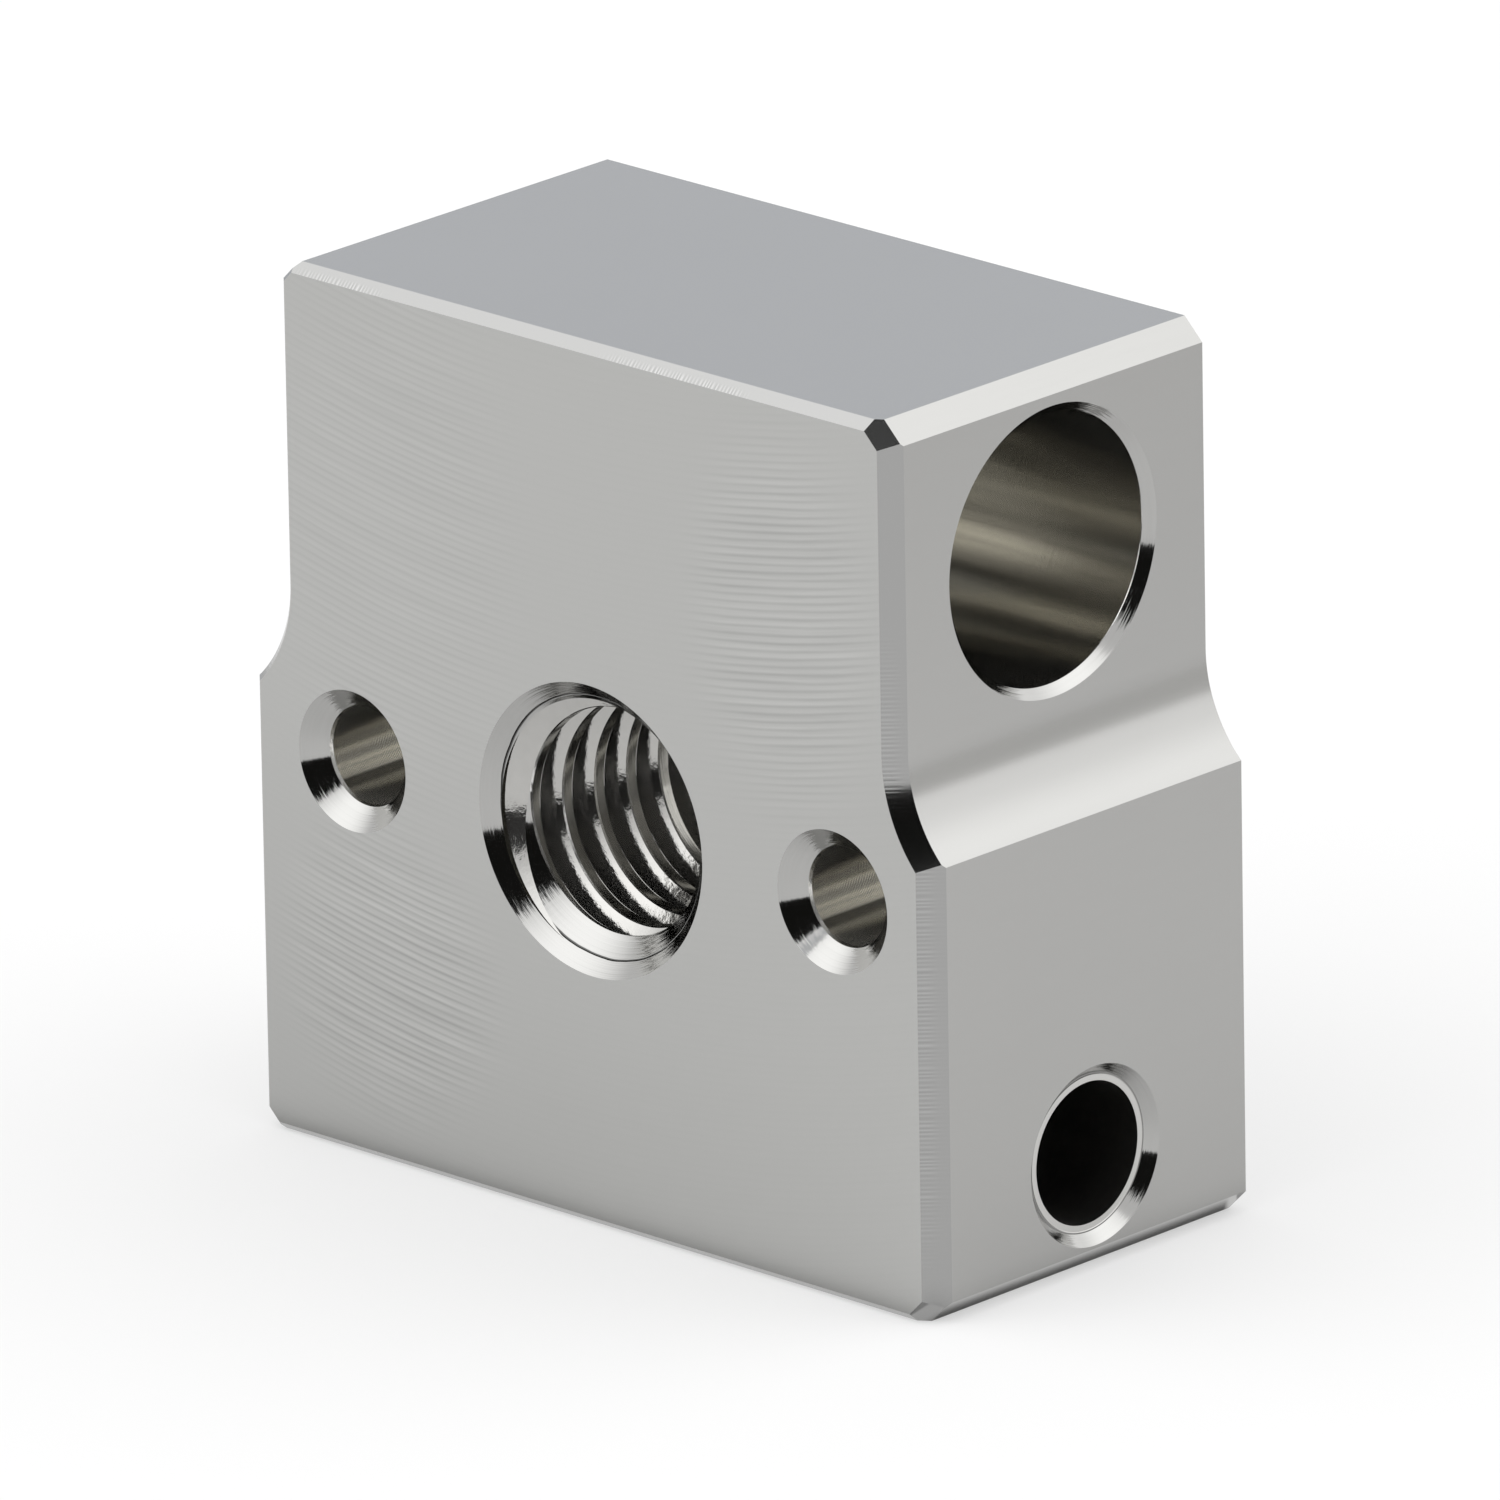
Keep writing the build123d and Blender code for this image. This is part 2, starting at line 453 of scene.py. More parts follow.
BROKEN_SIDES = ("right_waist", "right_foot", "left", "top", "bottom", "right_corner", "left_corner")


def drawn_out(breaks, reach):
    """The edge breaks a reach further into the block, where each is less by that reach."""
    return {side: width - reach for side, width in breaks.items()}


def block_body(sizes):
    """The milled outline with a 45 degree break round its front and back edges."""
    front = {side: getattr(sizes, side + "_break") for side in BROKEN_SIDES}
    back = {side: sizes.back_break for side in front}
    front_reach, back_reach = 2 * max(front.values()), 2 * max(back.values())
    envelope = lofted(
        "envelope",
        [
            (LOW.y, outline(sizes, **front)),
            (LOW.y + front_reach, outline(sizes, **drawn_out(front, front_reach))),
            (HIGH.y - back_reach, outline(sizes, **drawn_out(back, back_reach))),
            (HIGH.y, outline(sizes, **back)),
        ],
    )
    ends = (LOW.y - OVERRUN, HIGH.y + OVERRUN)
    body = lofted(NODE + "_dressed", [(depth, outline(sizes)) for depth in ends])
    at_45_degrees = 0.01
    chamfers = (metal("chamfer"), lambda normal: abs(abs(normal.x) - abs(normal.z)) < at_45_degrees)
    finish_with(body, metal("satin"), chamfers)
    finish_with(
        envelope,
        metal("edge", "x"),
        (metal("edge", "z"), lambda normal: abs(normal.x) > abs(normal.z)),
        (metal("milled"), lambda normal: abs(normal.y) > SQUARE_LEAN),
    )
    combine(body, envelope, "INTERSECT")
    return body


def through_tool(name, radius, mouth, across, rim, steps):
    """A tool for a through hole with a 45 degree mouth at both ends, centred on the origin.

    A narrow rim breaks the edge between each mouth and the wall.
    """
    end = across / 2
    throat = end - (mouth - radius)
    rim_side = rim / sqrt(2)
    upper_half = [
        (radius, throat - rim),
        (radius + rim_side, throat + rim_side),
        (mouth, end),
        (mouth, end + OVERRUN),
        (0, end + OVERRUN),
    ]
    lower_half = [(out, -height) for out, height in reversed(upper_half)]
    return turned(name, lower_half + upper_half, steps)


def cut_nozzle_hole(block, sizes):
    """Cuts the threaded hole through the depth, with a mouth at both ends."""
    centre, front = mount_place("nozzle_thread"), (0, -1, 0)
    radius, mouth, depth = sizes.nozzle_radius, sizes.nozzle_mouth, HIGH.y - LOW.y
    tool = through_tool("nozzle_mouths", radius, mouth, depth, sizes.crest_rim, sizes.round_steps)
    combine(block, place(bored(tool, "y", "bore", "ringed"), centre, front))
    form = ThreadForm(
        radius - ROD_INSET,
        sizes.nozzle_root_radius,
        sizes.nozzle_pitch,
        sizes.nozzle_root_flat,
        sizes.crest_rim,
    )
    end = depth / 2 + ROD_OVERRUN
    first_crest = depth / 2 - sizes.nozzle_first_crest
    rod = threaded_rod("nozzle_thread", form, -end, end, sizes.round_steps, first_crest)
    combine(block, place(threaded(rod), centre, front))


def cut_fastening_holes(block, sizes):
    """Cuts the two small countersunk holes beside the threaded one."""
    centre = mount_place("fastening_holes")
    spacing = mount_size("fastening_holes", "spacing_x_mm")
    radius, mouth, depth = sizes.fastening_radius, sizes.fastening_mouth, HIGH.y - LOW.y
    for side in (-1, 1):
        tool = through_tool("fastening_hole", radius, mouth, depth, sizes.rim, sizes.round_steps)
        at = centre + Vector((side * spacing / 2, 0, 0))
        combine(block, place(bored(tool, "y", "reamed"), at, (0, -1, 0)))


def cut_heater_bore(block, sizes, side_relief):
    """Cuts the heating cartridge's bore across the waist."""
    across = HIGH.x - LOW.x - 2 * side_relief
    radius, mouth = sizes.heater_radius, sizes.heater_mouth
    tool = through_tool("heater_bore", radius, mouth, across, sizes.faint_rim, sizes.round_steps)
    combine(block, place(bored(tool, "x"), mount_place("heater_bore"), (1, 0, 0)))


def cut_sensor_bore(block, sizes):
    """Cuts the blind bore from the right, with the step in its mouth and its drill point."""
    point = sizes.sensor_depth + sizes.sensor_radius / tan(sizes.drill_point / 2)
    section = [
        (0, OVERRUN),
        (sizes.sensor_mouth, OVERRUN),
        (sizes.sensor_mouth, 0),
        (sizes.sensor_step_radius, -sizes.sensor_step),
        (sizes.sensor_radius, -sizes.sensor_step),
        (sizes.sensor_radius, -sizes.sensor_depth),
        (0, -point),
    ]
    tool = finish_with(
        turned("sensor_bore", section, sizes.round_steps),
        metal("blind"),
        (metal("mouth", "x"), lambda normal: abs(normal.z) > MOUTH_LEAN),
        (metal("step"), lambda normal: abs(normal.z) > SQUARE_LEAN),
    )
    centre = mount_place("sensor_bore")
    combine(block, place(tool, (HIGH.x, centre.y, centre.z), (1, 0, 0)))


def cut_clamp_holes(block, sizes):
    """Cuts the two threaded holes from the back face to the axes of the bores that they clamp."""
    to_axis, back = HIGH.y, (0, 1, 0)
    section = [
        (0, OVERRUN),
        (sizes.clamp_mouth, OVERRUN),
        (sizes.clamp_mouth, 0),
        (sizes.clamp_radius, sizes.clamp_radius - sizes.clamp_mouth),
        (sizes.clamp_radius, -to_axis),
        (0, -to_axis),
    ]
    form = ThreadForm(
        sizes.clamp_radius - ROD_INSET,
        sizes.clamp_root_radius,
        sizes.clamp_pitch,
        sizes.clamp_root_flat,
        sizes.crest_rim / 2,
    )
    for name in ("heater_clamp_screw", "sensor_clamp_screw"):
        centre = mount_place(name)
        at = (centre.x, HIGH.y, centre.z)
        tool = turned(name, section, sizes.round_steps)
        combine(block, place(bored(tool, "y"), at, back))
        rod = threaded_rod(name, form, -to_axis, ROD_OVERRUN, sizes.round_steps // 2)
        combine(block, place(threaded(rod), at, back))


class Value:
    """A shader socket that takes part in plain Python sums."""

    def __init__(self, tree, socket=None):
        self.tree = tree
        self.socket = socket

    def node(self, kind, settings=(), output=0, **inputs):
        """Adds one node with its settings, feeds its sockets and returns one of its outputs.

        A socket goes by its name with _ for each space, or by i and its number.
        """
        made = self.tree.nodes.new(kind)
        for name, value in dict(settings).items():
            setattr(made, name, value)
        for name, value in inputs.items():
            number = name[1:]
            socket = made.inputs[int(number) if number.isdigit() else name.replace("_", " ")]
            if isinstance(value, Value):
                self.tree.links.new(value.socket, socket)
            else:
                socket.default_value = value
        return Value(self.tree, made.outputs[output]) if made.outputs else None

    def math(self, operation, other=0.0, reflected=False):
        """A Math node on this value and another one, which comes first in a reflected sum."""
        first, second = (other, self) if reflected else (self, other)
        return self.node("ShaderNodeMath", {"operation": operation}, i0=first, i1=second)

    def vector_math(self, operation, output=0, **inputs):
        """A Vector Math node with its operation and inputs."""
        return self.node("ShaderNodeVectorMath", {"operation": operation}, output, **inputs)

    def __add__(self, other):
        return self.math("ADD", other)

    def __radd__(self, other):
        return self.math("ADD", other, True)

    def __sub__(self, other):
        return self.math("SUBTRACT", other)

    def __rsub__(self, other):
        return self.math("SUBTRACT", other, True)

    def __mul__(self, other):
        return self.math("MULTIPLY", other)

    def __rmul__(self, other):
        return self.math("MULTIPLY", other, True)

    def __truediv__(self, other):
        return self.math("DIVIDE", other)

    def __rtruediv__(self, other):
        return self.math("DIVIDE", other, True)

    def __neg__(self):
        return self * -1.0

    def out(self, name):
        """Another output of the node that this value comes from."""
        return Value(self.tree, self.socket.node.outputs[name])

    def sine(self):
        """The sine of this value, which is in radians."""
        return self.math("SINE")

    def size(self):
        """This value without its sign."""
        return self.math("ABSOLUTE")

    def smooth(self, low, high):
        """Rises smoothly from 0 to 1 as this value goes from low to high."""
        smoothly = {"interpolation_type": "SMOOTHSTEP"}
        return self.node("ShaderNodeMapRange", smoothly, Value=self, From_Min=low, From_Max=high)

    def between(self, start, full, fading, gone):
        """Rises smoothly from 0 to 1, start to full, and falls back to 0, fading to gone."""
        return self.smooth(start, full) * (1.0 - self.smooth(fading, gone))

    def contrast(self, amount):
        """One, made more by this value times an amount, or less where that is negative."""
        return 1.0 + self * amount

    def scaled(self, x, y, z):
        """This vector with each of its parts multiplied."""
        return self.vector_math("MULTIPLY", i0=self, i1=(x, y, z))

    def from_point(self, x, y, z):
        """This vector taken from a point."""
        return self.vector_math("SUBTRACT", i0=self, i1=(x, y, z))

    def distance(self):
        """The length of this vector."""
        return self.vector_math("LENGTH", "Value", i0=self)

    def on(self, colour):
        """A colour made lighter or darker by this value."""
        return self.vector_math("SCALE", i0=colour, i3=self)

    def noise(self, detail=2.0, roughness=0.5):
        """Soft noise from -1 to 1 at this vector, about one bump to each unit."""
        bumps = self.node("ShaderNodeTexNoise", Vector=self, Scale=1.0, Detail=detail, Roughness=roughness)
        return bumps * 2.0 - 1.0


class Finish:
    """A material in the making, with the object's coordinates in millimetres to draw it on."""

    def __init__(self, name, axis=""):
        self.material = bpy.data.materials.new(name)
        self.material.use_nodes = True
        self.material.node_tree.nodes.clear()
        self.start = Value(self.material.node_tree)
        metres = self.start.node("ShaderNodeTexCoord", output="Object")
        self.place = metres.vector_math("SCALE", i0=metres, i3=1 / MM)
        self.x = self.place.node("ShaderNodeSeparateXYZ", Vector=self.place)
        self.y, self.z = self.x.out("Y"), self.x.out("Z")
        self.axis = axis
        self.along = {"x": self.x, "y": self.y, "z": self.z}.get(axis)

    def point(self, x, y=0.0, z=0.0):
        """A vector of three parts."""
        return self.start.node("ShaderNodeCombineXYZ", X=x, Y=y, Z=z)

    def grain(self, x, y, z, **kind):
        """Soft noise from -1 to 1, with about so many bumps to each millimetre on each axis."""
        return self.place.scaled(x, y, z).noise(**kind)

    def out_from(self, centre, x, y, z):
        """How far a place is from a centre, where 0 leaves out an axis and 1 counts it."""
        return self.place.from_point(*centre).scaled(x, y, z).distance()

    def surface(self, shade, colour, roughness, relief, depth, metallic=1.0):
        """Ends the material as metal: its shade varies its colour, and its relief's depth is in mm."""
        bump = self.start.node("ShaderNodeBump", Strength=1.0, Distance=depth * MM, Height=relief)
        shader = self.start.node(
            "ShaderNodeBsdfPrincipled",
            Base_Color=shade.on(colour),
            Metallic=metallic,
            Roughness=roughness,
            Normal=bump,
        )
        self.output(shader)

    def output(self, shader):
        """Ends the material with a shader."""
        shader.node("ShaderNodeOutputMaterial", Surface=shader)


# Where the face cutter bit deeper: a patch's middle and reach along X and Z in mm, and its strength
MILLED_PATCHES = (
    (5.8, 15.0, 3.4, 5.3, 1.05),
    (-6.1, 4.4, 3.9, 4.1, 1.5),
    (-5.8, 14.6, 4.6, 8.0, 0.5),
)


def milled_metal(finish, look):
    """Arcs left by a wide face cutter, which stand one above the other with a single pitch."""
    bumps_along, bumps_deep = 0.22, 0.5  # to each millimetre, along X and in depth
    wander_pace, wander_turn = 0.16, 2.5  # to each arc, and by how many radians its place wanders
    streak_pace, streak_share = 1.1, 1.1
    wave_share, second_wave, second_turn = 0.55, 0.3, 1.0
    plain_bite, patch_core = 0.06, 0.4
    cloud_bumps, cloud_contrast = 0.12, 0.012
    foot_low, foot_top, painted_lighter_to_right = 3.0, 12.0, 0.0045  # the last one to each millimetre

    from_middle = finish.x - look.milling_middle
    up = finish.z - from_middle * from_middle / (2 * look.milling_radius)
    arcs = finish.point(finish.x * bumps_along, up / look.milling_pitch, finish.y * bumps_deep)
    wander = arcs.scaled(1.0, wander_pace, 1.0).noise()
    turn = up * (2 * pi / look.milling_pitch) + wander * wander_turn
    wave = turn.sine() + (turn * 2.0 + second_turn).sine() * second_wave
    streaks = arcs.scaled(1.0, streak_pace, 1.0).noise(detail=3.0, roughness=0.6)
    marks = wave * wave_share + streaks * streak_share
    bite = plain_bite
    for middle_x, middle_z, reach_x, reach_z, strength in MILLED_PATCHES:
        out = finish.out_from((middle_x, 0, middle_z), 1 / reach_x, 0, 1 / reach_z)
        bite = (1.0 - out.smooth(patch_core, 1.0)) * strength + bite
    relief = marks * bite
    clouds = finish.grain(cloud_bumps, cloud_bumps, cloud_bumps)
    # Painted reflection: low on the face, lighter to the right and darker to the left, fading out towards
    # foot_top
    painted_foot_reflection = finish.x * (1.0 - finish.z.smooth(foot_low, foot_top)) * painted_lighter_to_right
    shade = relief.contrast(look.milling_contrast) + clouds * cloud_contrast + painted_foot_reflection
    finish.surface(shade, look.face_colour, look.face_roughness, relief, look.milling_depth)


def satin_metal(finish, look):
    """Side faces cut by the side of the mill: even and smooth, with faint drawn lines."""
    cloud_contrast = 0.02
    grain = finish.grain(5.0, 0.5, 5.0, detail=3.0, roughness=0.6)
    clouds = finish.grain(0.15, 0.15, 0.15)
    shade = grain.contrast(0.012) + clouds * cloud_contrast
    finish.surface(shade, look.side_colour, look.side_roughness, grain, depth=0.0003)


def chamfer_metal(finish, look):
    """The bright chamfers along the corners of the outline."""
    grain = finish.grain(9.0, 0.6, 9.0, roughness=0.6)
    finish.surface(grain.contrast(0.015), look.chamfer_colour, look.edge_roughness, grain, depth=0.0003)


# Where the chamfer mill left ticks along the edge breaks of each direction, in millimetres: where
# they start, are full, begin to fade and are gone
TICKED = {
    "x": ((-8.8, -7.6, -6.7, -5.7), (0.2, 1.8, 4.2, 5.0)),
    "z": ((0.5, 4.0, 12.5, 16.0),),
}
# How strong those ticks are, how far in from the front face they begin and end to fade, and by how much
TICK_FADING = {"x": (1.4, 0.04, 0.15, 1.0), "z": (1.0, 0.1, 0.36, 0.9)}


def edge_metal(finish, look):
    """Edge breaks, with the small ticks that a chattering mill leaves along their front edge."""
    wander_bumps, wander_turn = 3.0, 6.0
    gap_bumps, gap_row, least_tick, dark_share = 2.6, 7.0, 0.4, 0.6

    strength, near, far, loss = TICK_FADING[finish.axis]
    fading = (finish.y - LOW.y).smooth(near, far).contrast(-loss)
    zones = sum(finish.along.between(*zone) for zone in TICKED[finish.axis])
    wander = finish.point(finish.along * wander_bumps).noise()
    gaps = finish.point(finish.along * gap_bumps, gap_row).noise().smooth(-0.3, 0.25)
    wave = (finish.along * (2 * pi / look.tick_pitch) + wander * wander_turn).sine()
    ticks = wave.smooth(0.1, 0.9) - (-wave).smooth(0.3, 0.9) * dark_share
    marks = ticks * zones * fading * strength * (gaps * (1 - least_tick) + least_tick)
    finish.surface(marks.contrast(0.17), look.edge_colour, look.edge_roughness, marks, depth=0.0005)


def turned_rings(finish):
    """The fine rings of a countersink, about the axis that it is turned on."""
    ring_bumps, bumps_up = 14.0, 0.5
    return finish.point(finish.along * ring_bumps, finish.z * bumps_up).noise(detail=3.0, roughness=0.7)


def mouth_metal(finish, look):
    """Countersinks, with turned rings round them."""
    rings = turned_rings(finish)
    finish.surface(rings.contrast(0.05), look.side_colour, look.mouth_roughness, rings, depth=0.0028)


def ringed_metal(finish, look):
    """The nozzle hole's countersinks, each with a thin groove where the tap has touched it, painted dark as
    shade in it.
    """
    inside_root, uneven, line_depth = 0.045, 0.02, 4.0
    half_width, half_faded = 0.004, 0.026
    rings = turned_rings(finish)
    root = bpy.context.scene.heater_block_holes.nozzle_root_radius / MM
    out = finish.out_from(mount_place("nozzle_thread"), 1.0, 0.0, 1.0)
    out = out + finish.grain(1.5, 1.5, 1.5) * uneven
    line = 1.0 - (out - (root - inside_root)).size().smooth(half_width, half_faded)
    # Painted shade: the colour goes dark along the groove
    shade = rings.contrast(0.05) * line.contrast(-0.85)
    relief = rings - line * line_depth
    finish.surface(shade, look.side_colour, look.mouth_roughness, relief, depth=0.0028)


def step_metal(finish, look):
    """The flat step in the sensor bore's mouth, painted bright as a highlight, with a painted dark line of
    shade round its outside.
    """
    ring_bumps, line_width, edge_width = 30.0, 0.06, 0.02
    radius = bpy.context.scene.heater_block_holes.sensor_step_radius / MM
    out = finish.out_from(mount_place("sensor_bore"), 0.0, 1.0, 1.0)
    line = out.smooth(radius - line_width, radius - edge_width)
    rings = finish.point(out * ring_bumps).noise()
    # Painted shade round the step's outside, over its painted highlight
    shade = rings.contrast(0.1) * line.contrast(-0.6)
    finish.surface(shade, look.step_colour, look.edge_roughness, line, depth=0.02)


def rim_metal(finish, look):
    """The burnished line where two cuts meet, its colour raised well above the plating's as a painted
    highlight.
    """
    plain, nick_contrast = 0.85, 0.3
    nicks = finish.grain(6.0, 6.0, 6.0, detail=3.0, roughness=0.7)
    shade = plain + nicks * nick_contrast
    finish.surface(shade, look.rim_colour, look.edge_roughness, nicks, depth=0.001)


# Painted reflection bands on the heater bore's wall, which go lighter and then darker: from and to how far
# below its axis, in mm, and by how much
PAINTED_BORE_BANDS = ((0.0, 1.3, 0.33), (1.6, 2.2, -0.3), (2.4, 3.0, -0.3))


def bore_metal(finish, look):
    """The heater bore's wall, warmer than the outside, with fine reamed rings and painted reflection bands.
    """
    ring_bumps, on_axis = 9.0, 0.87
    rings = finish.point(finish.along * ring_bumps).noise(detail=3.0, roughness=0.7)
    below = mount_place("heater_bore").z - finish.z
    painted_bands = on_axis
    for low, high, change in PAINTED_BORE_BANDS:
        painted_bands = below.smooth(low, high) * change + painted_bands
    drawn = finish.grain(0.1, 1.9, 1.9, detail=3.0, roughness=0.6)
    shade = rings.contrast(0.05) * drawn.contrast(0.45) * painted_bands
    finish.surface(shade, look.bore_colour, look.bore_roughness, rings, depth=0.0006, metallic=0.97)


def reamed_metal(finish, look):
    """Walls of the small through holes, bright, with the fine feed rings of the reamer.

    Painted reflection darkens a band along the wall's bottom, and painted shade darkens its sides towards the
    hole's axis.
    """
    feed, lowest_side = 0.05, 1.05
    rings = (finish.y * (2 * pi / feed)).sine()
    above = finish.z - mount_place("fastening_holes").z
    painted_side_shade = lowest_side - above.smooth(-0.52, -0.02) * 0.45
    painted_bottom_band = above.smooth(-0.95, -0.85).contrast(-0.76)
    side = above.smooth(-0.76, -0.7)
    wall = painted_side_shade * side + painted_bottom_band * (1.0 - side)
    shade = rings.contrast(0.04) * wall
    finish.surface(shade, look.reamed_colour, look.bore_roughness, rings, depth=0.0011, metallic=0.94)


def blind_metal(finish, look):
    """The wall of the blind bore, rough from the drill, with its colour darkened as painted shade in the
    recess.
    """
    ring_bumps = 6.0
    rings = finish.point(finish.x * ring_bumps, finish.z, finish.y).noise(detail=3.0, roughness=0.7)
    finish.surface(rings.contrast(0.1), look.blind_colour, look.blind_roughness, rings, depth=0.002)


def thread_metal(finish, look):
    """Thread flanks, a little torn by the tap."""
    torn = finish.grain(4.0, 4.0, 4.0, detail=4.0, roughness=0.65)
    shade = torn.contrast(0.06)
    finish.surface(shade, look.thread_colour, look.thread_roughness, torn, depth=0.003, metallic=0.95)


def crest_metal(finish, look):
    """The flats of a thread's crests and roots, duller than its flanks and painted darker as shade."""
    torn = finish.grain(5.0, 5.0, 5.0, detail=4.0, roughness=0.65)
    shade = torn.contrast(0.15)
    finish.surface(shade, look.crest_colour, look.crest_roughness, torn, depth=0.003, metallic=0.95)


METALS = {
    "milled": milled_metal,
    "satin": satin_metal,
    "chamfer": chamfer_metal,
    "edge": edge_metal,
    "mouth": mouth_metal,
    "ringed": ringed_metal,
    "step": step_metal,
    "rim": rim_metal,
    "bore": bore_metal,
    "reamed": reamed_metal,
    "blind": blind_metal,
    "thread": thread_metal,
    "crest": crest_metal,
}


def metal(kind, axis=""):
    """The material of one finish, along an axis or not, made when it is first asked for."""
    name = "_".join(filter(None, (kind, "metal", axis)))
    if name not in bpy.data.materials:
        METALS[kind](Finish(name, axis), in_millimetres(bpy.context.scene.heater_block_finishes))
    return bpy.data.materials[name]


SENSOR_WIDTH = 36  # millimetres
LAMP_DISTANCE = 0.6  # metres
LAMP_EDGE = 0.5  # how far out a lamp's edge is, in the lamp's own coordinates
FLOOR_SIZE = 8  # metres
WHITE = (1, 1, 1, 1)

# Lamps: azimuth and elevation in degrees, size in metres, and how far out the glow stays even, in the
# lamp's own coordinates
SOFTBOXES = {
    "left_softbox": (-30, 42, 1.3, 0.07),
    "right_softbox": (137, 34, 0.95, 0.4),
    "right_lamp": (131, 49.5, 0.8, 0.05),
}

# Glowing and black cards that only reflections show, painted reflections that light nothing: azimuth and
# elevation in degrees, distance, width and height in metres, how far the card leans in degrees, and whose
# colour it has
Card = namedtuple("Card", "azimuth elevation distance width height lean colour")
CARDS = {
    "black_card": Card(44, 0, 0.5, 0.434, 1.3, 0, "black_card"),
    "black_strip": Card(15, 0, 0.065, 0.02, 0.036, 0, "black_card"),
    "dark_card": Card(-117, 0, 0.55, 0.214, 1.14, 0, "dark_card"),
    "grey_card": Card(-136, 0, 0.6, 0.9, 0.9, 0, "grey_card"),
    "pale_shelf": Card(42.4, 47.5, 0.0515, 0.0198, 0.0548, 95.2, "pale_shelf"),
    "grey_strip": Card(134, 0, 0.08, 0.04, 0.037, 0, "grey_strip"),
}
CARD_COLOURS = {
    "black_card": (0.012, 0.012, 0.011),
    "dark_card": (0.15, 0.15, 0.14),
    "grey_card": (0.83, 0.855, 0.9),
    "pale_shelf": (0.93, 0.945, 0.97),
    "grey_strip": (0.82, 0.82, 0.81),
}


def camera(view):
    """The camera at the photograph's angle, aimed by its distances on the picture."""
    round_by, down_by, roll = view.azimuth, view.elevation, view.roll
    right = Vector((cos(round_by), sin(round_by), 0))
    up = Vector((-sin(round_by) * sin(down_by), cos(round_by) * sin(down_by), cos(down_by)))
    forward = up.cross(right)
    right, up = cos(roll) * right + sin(roll) * up, cos(roll) * up - sin(roll) * right
    middle = (Vector(cad_box[0]) + Vector(cad_box[1])) / 2
    target = middle + view.aim_right * right + view.aim_up * up
    data = bpy.data.cameras.new("camera")
    data.lens = view.lens
    data.sensor_width = SENSOR_WIDTH
    obj = bpy.data.objects.new("camera", data)
    bpy.context.scene.collection.objects.link(obj)
    facing = Matrix((right, up, -forward)).transposed().to_4x4()
    obj.matrix_world = Matrix.Translation(target - forward * view.distance) @ facing
    bpy.context.scene.camera = obj


def facing_block(obj, azimuth, elevation, distance):
    """Stands a lamp or card up, facing the block, at an azimuth from the front round to the right."""
    azimuth, elevation = radians(azimuth), radians(elevation)
    level = cos(elevation)
    away = Vector((sin(azimuth) * level, -cos(azimuth) * level, sin(elevation)))
    turn = away.to_track_quat("Z", "Y").to_matrix().to_4x4()
    obj.matrix_world = Matrix.Translation(away * distance) @ turn


def softbox(name, radiance, azimuth, elevation, size, even):
    """A soft square lamp with a given radiance, which fades from its middle to its rim."""
    data = bpy.data.lights.new(name, "AREA")
    data.size = size
    data.energy = radiance * pi * size**2
    data.use_nodes = True
    data.node_tree.nodes.clear()
    start = Value(data.node_tree)
    parts = start.node("ShaderNodeNewGeometry", output="Parametric")
    out = parts.from_point(LAMP_EDGE, LAMP_EDGE, 0).distance()
    glow = start.node("ShaderNodeEmission", Color=WHITE, Strength=1.0 - out.smooth(even, LAMP_EDGE))
    glow.node("ShaderNodeOutputLight", Surface=glow)
    obj = bpy.data.objects.new(name, data)
    bpy.context.scene.collection.objects.link(obj)
    facing_block(obj, azimuth, elevation, LAMP_DISTANCE)


def glowing(name, colour):
    """A material that shows one plain colour, whatever the light."""
    shown = Finish(name)
    shown.output(shown.start.node("ShaderNodeEmission", Color=(*colour, 1), Strength=1.0))
    return shown.material


def reflected_card(name, card, material):
    """A card beside the camera's view, which only the metal's reflections show: a painted reflection that
    lights nothing.
    """
    only()
    bpy.ops.mesh.primitive_plane_add(size=1)
    obj = bpy.context.object
    obj.name = name
    facing_block(obj, card.azimuth, card.elevation, card.distance)
    obj.matrix_world = obj.matrix_world @ Matrix.Rotation(radians(card.lean), 4, "X")
    obj.scale = (card.width, card.height, 1)
    obj.data.materials.append(material)
    obj.visible_camera = obj.visible_diffuse = obj.visible_transmission = obj.visible_shadow = False


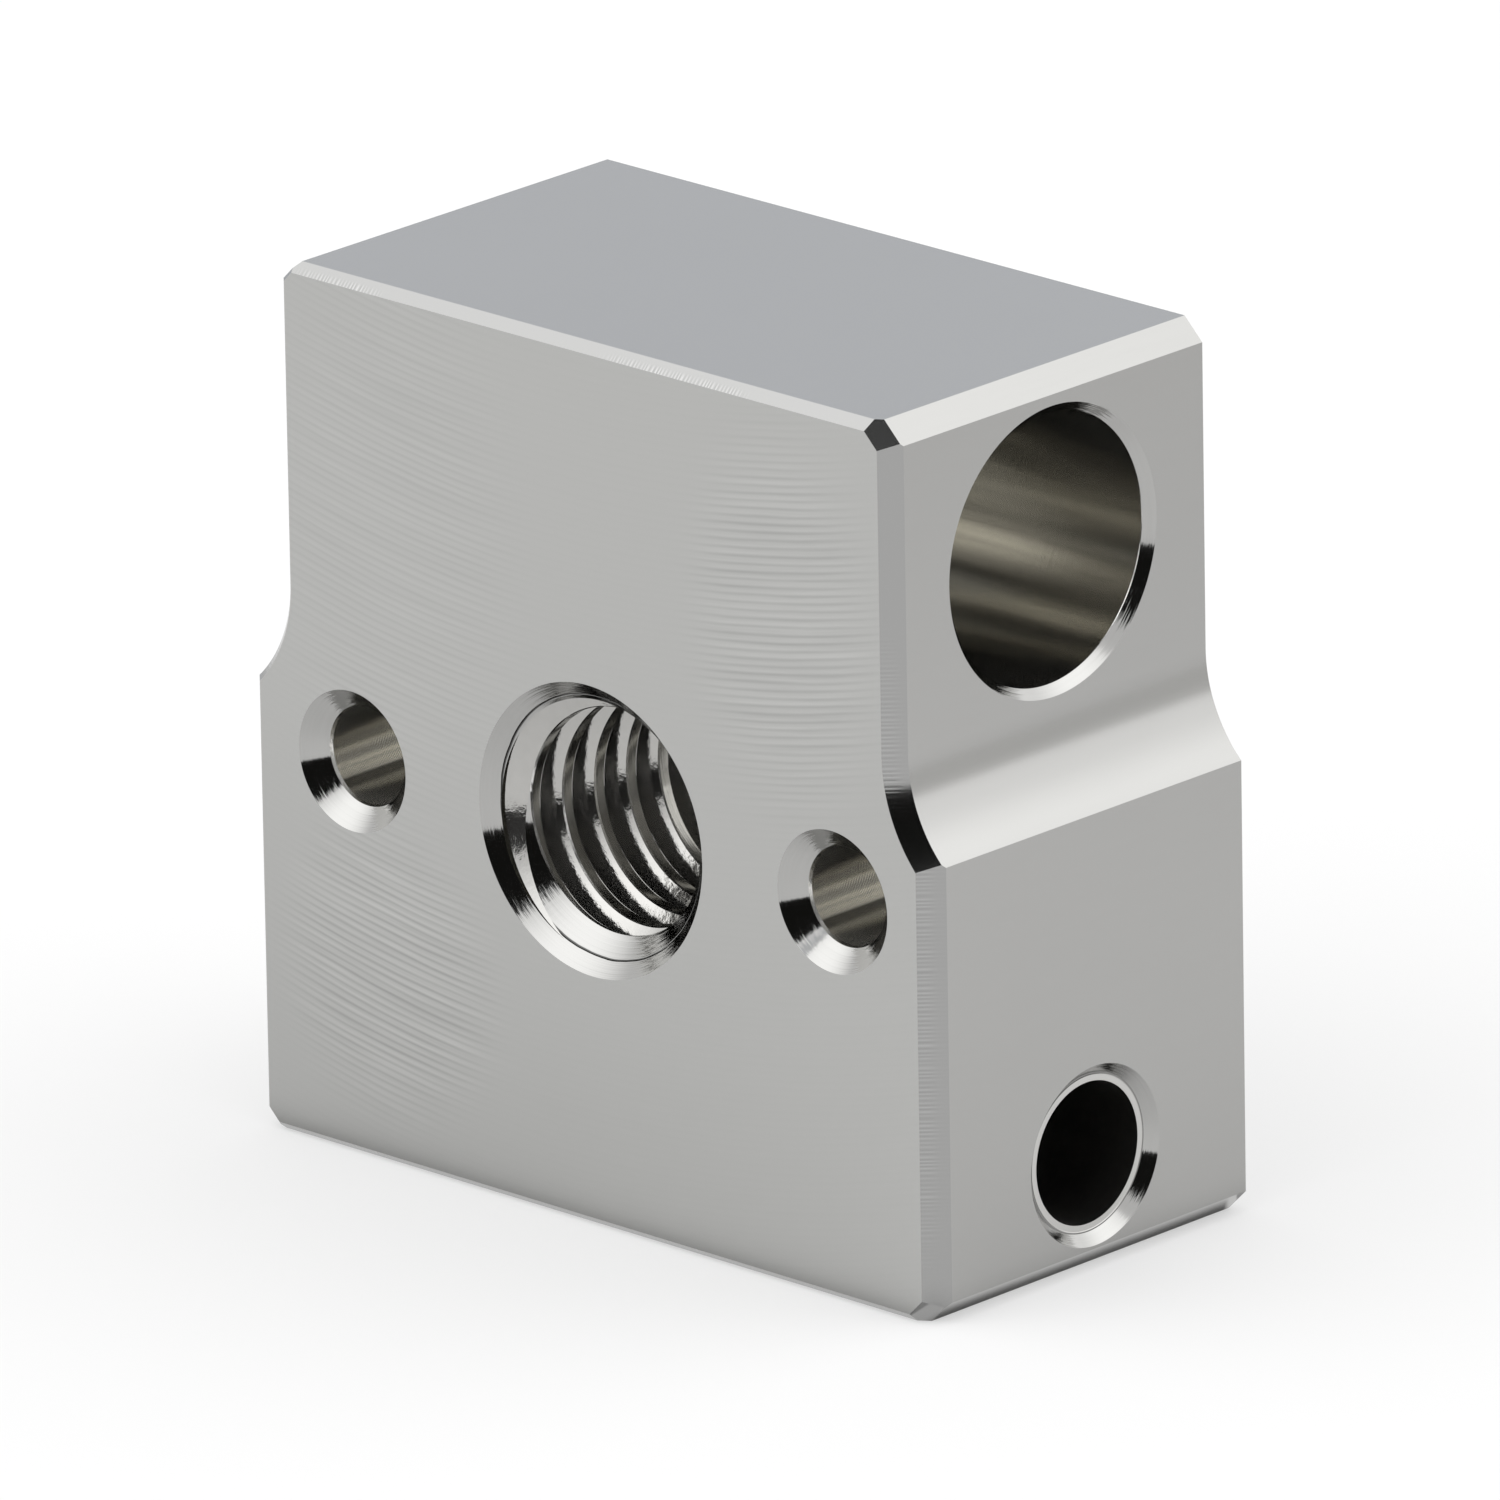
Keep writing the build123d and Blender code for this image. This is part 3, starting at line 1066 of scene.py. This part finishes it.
def floor(light):
    """The pale floor, which keeps the block's shadow and fades to plain white further out.

    Reflections show it white too, but for the shadow round the block's foot, to which they add a painted
    shadow beside the block, painted light under its edges and painted shade behind it. Lengths are in mm.
    """
    shadow_near, shadow_far = 60.0, 300.0
    contact_reach, painted_contact_dark = 2.0, 0.4
    light_under_edge, light_share = (-0.46, -0.2, -0.02, 0.02), 0.75
    behind_near, behind_far, painted_behind_dark = 18.0, 42.0, 0.17

    only()
    bpy.ops.mesh.primitive_plane_add(size=FLOOR_SIZE)
    obj = bpy.context.object
    obj.name = "floor"
    pale = Finish("floor")
    rays = pale.start.node("ShaderNodeLightPath")
    seen, mirrored = rays.out("Is Camera Ray"), rays.out("Is Glossy Ray") + rays.out("Is Transmission Ray")
    near = (1.0 - pale.place.distance().smooth(shadow_near, shadow_far)) * light.shadow
    beside = (pale.x.size() - HIGH.x).math("MAXIMUM", pale.y.size() - HIGH.y)
    contact = 1.0 - beside.smooth(0.0, contact_reach)
    # Painted shadow: reflections see the floor darker right beside the block
    painted_contact_shadow = (mirrored * contact).contrast(-painted_contact_dark)
    cloth = pale.start.node("ShaderNodeBsdfDiffuse", Color=painted_contact_shadow.on([light.floor] * 3))
    # Painted shade: reflections see the floor's glow dimmer behind the block
    behind = (mirrored * pale.y.smooth(behind_near, behind_far)).contrast(-painted_behind_dark)
    glow = pale.start.node("ShaderNodeEmission", Color=WHITE, Strength=behind)
    # Painted light: reflections see less of the block's shadow just under its edges
    painted_creeping_light = beside.between(*light_under_edge) * light_share
    kept = near.math("MAXIMUM", contact) * (1.0 - painted_creeping_light)
    whiter = seen * (1.0 - near) + mirrored * (1.0 - kept)
    pale.output(glow.node("ShaderNodeMixShader", i0=whiter, i1=cloth, i2=glow))
    obj.data.materials.append(pale.material)


class HEATERBLOCK_OT_block(bpy.types.Operator):
    """Models the heater block with its holes, threads and finishes"""

    bl_idname = "heater_block.block"
    bl_label = "Heater Block"

    def execute(self, context):
        outline_sizes = in_millimetres(context.scene.heater_block_outline)
        hole_sizes = in_millimetres(context.scene.heater_block_holes)
        block = block_body(outline_sizes)
        cut_nozzle_hole(block, hole_sizes)
        cut_fastening_holes(block, hole_sizes)
        cut_heater_bore(block, hole_sizes, outline_sizes.side_relief)
        cut_sensor_bore(block, hole_sizes)
        cut_clamp_holes(block, hole_sizes)
        outward(block, SLIVER)
        only(block)
        block.scale = (MM, MM, MM)
        bpy.ops.object.transform_apply(location=True, rotation=True, scale=True)
        bpy.ops.object.shade_smooth_by_angle(angle=SMOOTH_ANGLE)
        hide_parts(NODE)
        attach(block, BODY)
        return {"FINISHED"}


class HEATERBLOCK_OT_stage(bpy.types.Operator):
    """Sets the camera, the floor and the studio light"""

    bl_idname = "heater_block.stage"
    bl_label = "Stage"

    def execute(self, context):
        light = context.scene.heater_block_light
        camera(context.scene.heater_block_view)
        floor(light)
        world = bpy.data.worlds.new("studio")
        context.scene.world = world
        world.use_nodes = True
        world.node_tree.nodes["Background"].inputs["Color"].default_value = WHITE
        for name, place_and_size in SOFTBOXES.items():
            softbox(name, getattr(light, name), *place_and_size)
        colours = {name: glowing(name, value) for name, value in CARD_COLOURS.items()}
        for name, card in CARDS.items():
            reflected_card(name, card, colours[card.colour])
        context.scene.view_settings.view_transform = "Standard"
        return {"FINISHED"}


class HEATERBLOCK_PT_panel(bpy.types.Panel):
    """Lists the operators that build the heater block"""

    bl_idname = "HEATERBLOCK_PT_panel"
    bl_label = "Heater Block"
    bl_space_type = "VIEW_3D"
    bl_region_type = "UI"
    bl_category = "Heater Block"

    def draw(self, context):
        self.layout.operator(HEATERBLOCK_OT_block.bl_idname)
        self.layout.operator(HEATERBLOCK_OT_stage.bl_idname)


GROUPS = {
    "heater_block_outline": OutlineSizes,
    "heater_block_holes": HoleSizes,
    "heater_block_view": ViewSettings,
    "heater_block_finishes": FinishSettings,
    "heater_block_light": LightSettings,
}
CLASSES = (*GROUPS.values(), HEATERBLOCK_OT_block, HEATERBLOCK_OT_stage, HEATERBLOCK_PT_panel)


def register():
    for cls in CLASSES:
        bpy.utils.register_class(cls)
    for name, group in GROUPS.items():
        setattr(bpy.types.Scene, name, PointerProperty(type=group))


def unregister():
    for name in GROUPS:
        delattr(bpy.types.Scene, name)
    for cls in reversed(CLASSES):
        bpy.utils.unregister_class(cls)


def main():
    """Builds the block and its stage."""
    register()
    bpy.ops.heater_block.block()
    bpy.ops.heater_block.stage()


if __name__ == "__main__":
    main()
